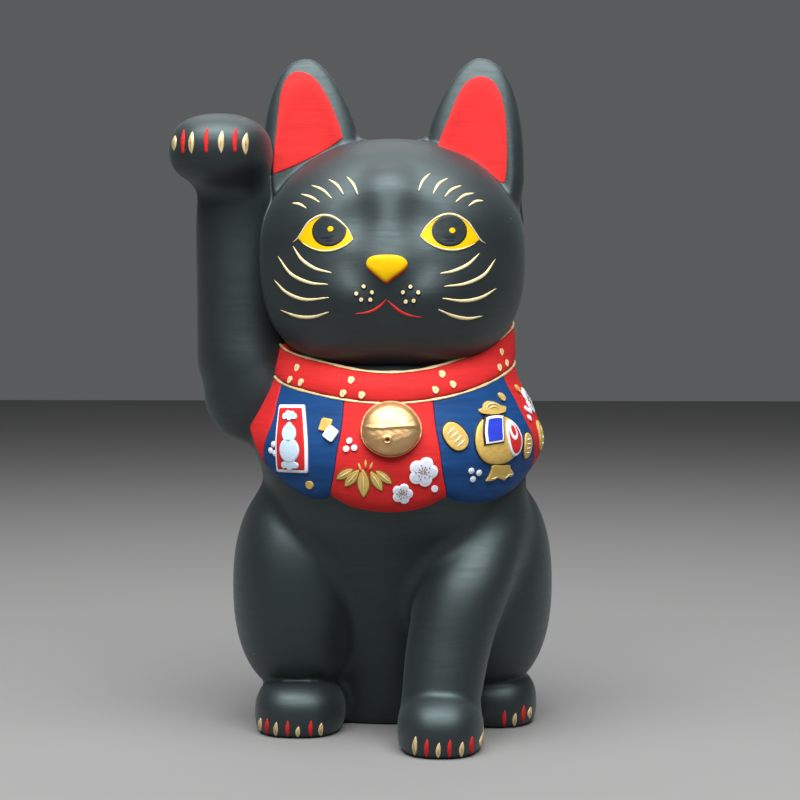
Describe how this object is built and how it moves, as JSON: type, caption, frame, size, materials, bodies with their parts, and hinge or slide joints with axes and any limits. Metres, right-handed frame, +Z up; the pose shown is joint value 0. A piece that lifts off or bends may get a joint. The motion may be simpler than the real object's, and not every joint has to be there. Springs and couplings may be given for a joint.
{
  "type": "beckoning cat figurine",
  "caption": "Hollow pottery cat sitting with one forepaw raised, with a painted collar, bell and decorated bib, a coin slot in its back and a rubber stopper in its base.",
  "frame": {"origin": "on the surface the cat stands on, in the plane that splits the head left from right, under the middle of the neck", "axes": "+Z up, -Y the way the cat looks, +X the cat's left; the raised paw is its right one, on the -X side"},
  "size_m": [0.1705, 0.1586, 0.3002],
  "materials": {
    "black_pottery": "matt black paint brushed over fired clay, with a soft grey-green sheen",
    "red_paint": "satin brushed red on raised slip",
    "blue_paint": "satin brushed dark blue on raised slip",
    "yellow_paint": "satin yellow paint",
    "gold_leaf": "soft metallic gold paint",
    "ochre_gold_slip": "dull gold paint on raised slip",
    "white_slip": "satin white paint on raised slip",
    "pale_blue_slip": "satin pale blue paint on raised slip",
    "stopper_rubber": "moulded grey-black rubber"
  },
  "bodies": {
    "cat": {"body_casting": "black_pottery", "head_casting": "black_pottery", "right_ear": "black_pottery", "left_ear": "black_pottery", "nose": "yellow_paint", "raised_arm": "black_pottery", "standing_foreleg": "black_pottery", "right_hind_foot": "black_pottery", "left_hind_foot": "black_pottery", "tail": "black_pottery", "collar_band": "red_paint", "bell": "gold_leaf", "bib_centre_panel": "red_paint", "bib_right_blue_panel": "blue_paint", "bib_left_blue_panel": "blue_paint", "bib_right_side_panel": "red_paint", "bib_left_side_panel": "red_paint", "plaque": "white_slip", "gold_chip": "ochre_gold_slip", "white_chip": "pale_blue_slip", "gold_bead_right": "ochre_gold_slip", "gold_bead_left": "ochre_gold_slip", "bamboo_middle_leaf": "ochre_gold_slip", "bamboo_right_inner_leaf": "ochre_gold_slip", "bamboo_right_outer_leaf": "ochre_gold_slip", "bamboo_left_inner_leaf": "ochre_gold_slip", "bamboo_left_outer_leaf": "ochre_gold_slip", "plum_blossom_large": "white_slip", "plum_blossom_small": "white_slip", "white_bead": "white_slip", "gold_coin": "ochre_gold_slip", "mallet_barrel": "ochre_gold_slip", "mallet_knot": "gold_leaf", "mallet_tassel": "ochre_gold_slip", "side_gold_coin": "ochre_gold_slip", "bow_knot": "red_paint", "bow_right_loop": "red_paint", "bow_right_end": "red_paint", "bow_left_loop": "red_paint", "bow_left_end": "red_paint"},
    "stopper": {"base_stopper": "stopper_rubber"}
  },
  "joints": [
    {"name": "stopper_pull", "type": "slide", "parent": "cat", "child": "stopper", "axis": [0, 0, -1], "range_m": [0, 0.025]}
  ]
}
